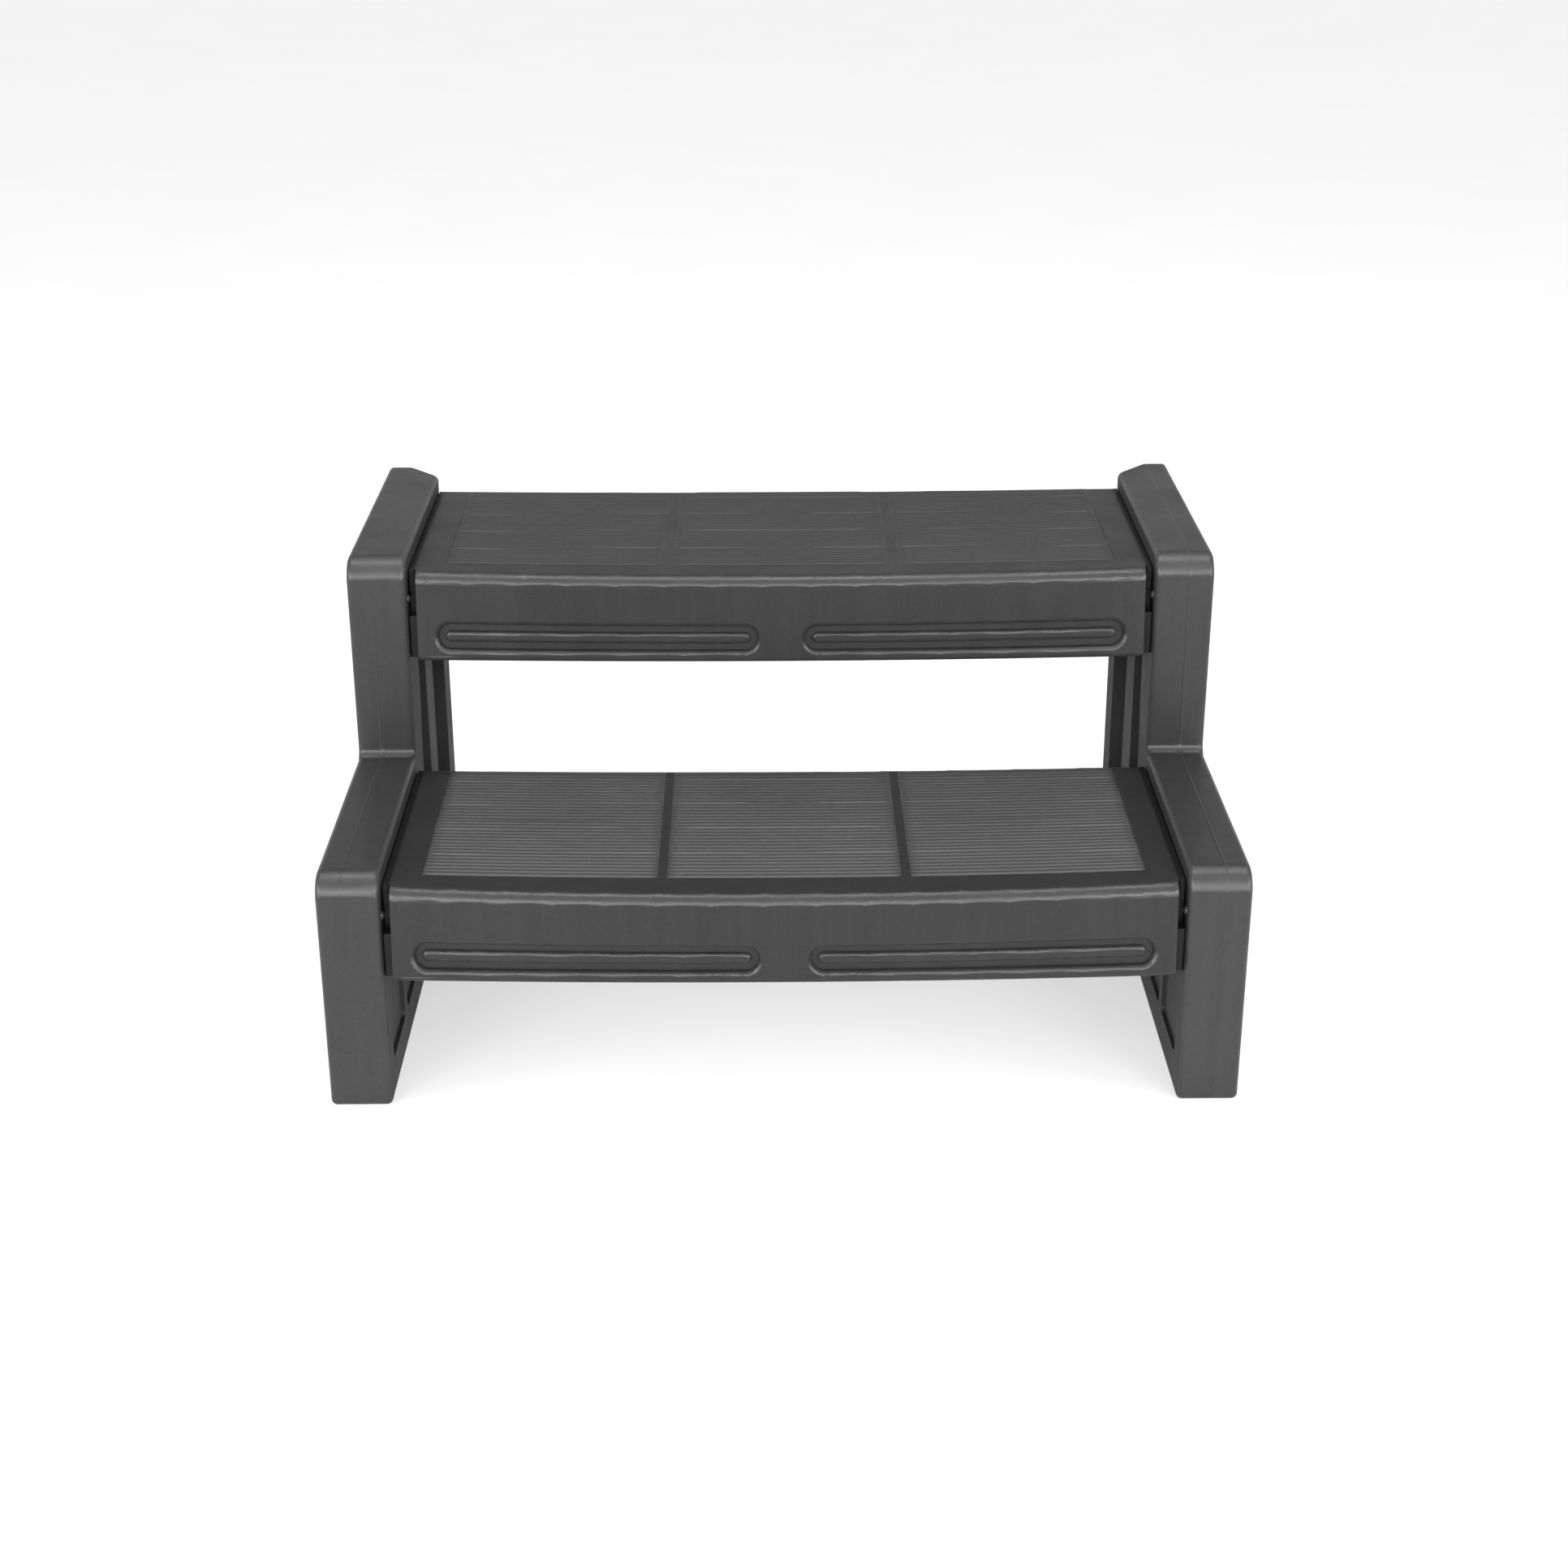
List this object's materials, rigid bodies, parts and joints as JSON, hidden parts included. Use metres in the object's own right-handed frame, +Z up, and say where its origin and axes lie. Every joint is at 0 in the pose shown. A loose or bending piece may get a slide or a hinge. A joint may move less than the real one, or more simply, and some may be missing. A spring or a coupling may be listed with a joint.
{
  "type": "spa step",
  "caption": "Free-standing resin step for a spa or pool: stair-shaped side panels carry ribbed treads with open risers and bowed fronts.",
  "frame": {"origin": "on the ground, in the middle of the width and of the depth of the whole step", "axes": "+X to the right seen from the front, +Y from front to back, +Z up"},
  "size_m": [0.914, 0.686, 0.473],
  "materials": {
    "resin": "satin moulded, dark grey",
    "cap_resin": "satin moulded, dark grey",
    "stainless_steel": "satin",
    "brass": "turned"
  },
  "bodies": {
    "root": {"side_panel_left": "resin", "side_panel_right": "resin", "tread_lower": "resin", "tread_upper": "resin", "screws_lower_left": "stainless_steel", "washers_lower_left": "stainless_steel", "threaded_inserts_lower_left": "brass", "screw_caps_lower_left": "cap_resin", "screws_lower_right": "stainless_steel", "washers_lower_right": "stainless_steel", "threaded_inserts_lower_right": "brass", "screw_caps_lower_right": "cap_resin", "screws_upper_left": "stainless_steel", "washers_upper_left": "stainless_steel", "threaded_inserts_upper_left": "brass", "screw_caps_upper_left": "cap_resin", "screws_upper_right": "stainless_steel", "washers_upper_right": "stainless_steel", "threaded_inserts_upper_right": "brass", "screw_caps_upper_right": "cap_resin"}
  },
  "joints": []
}
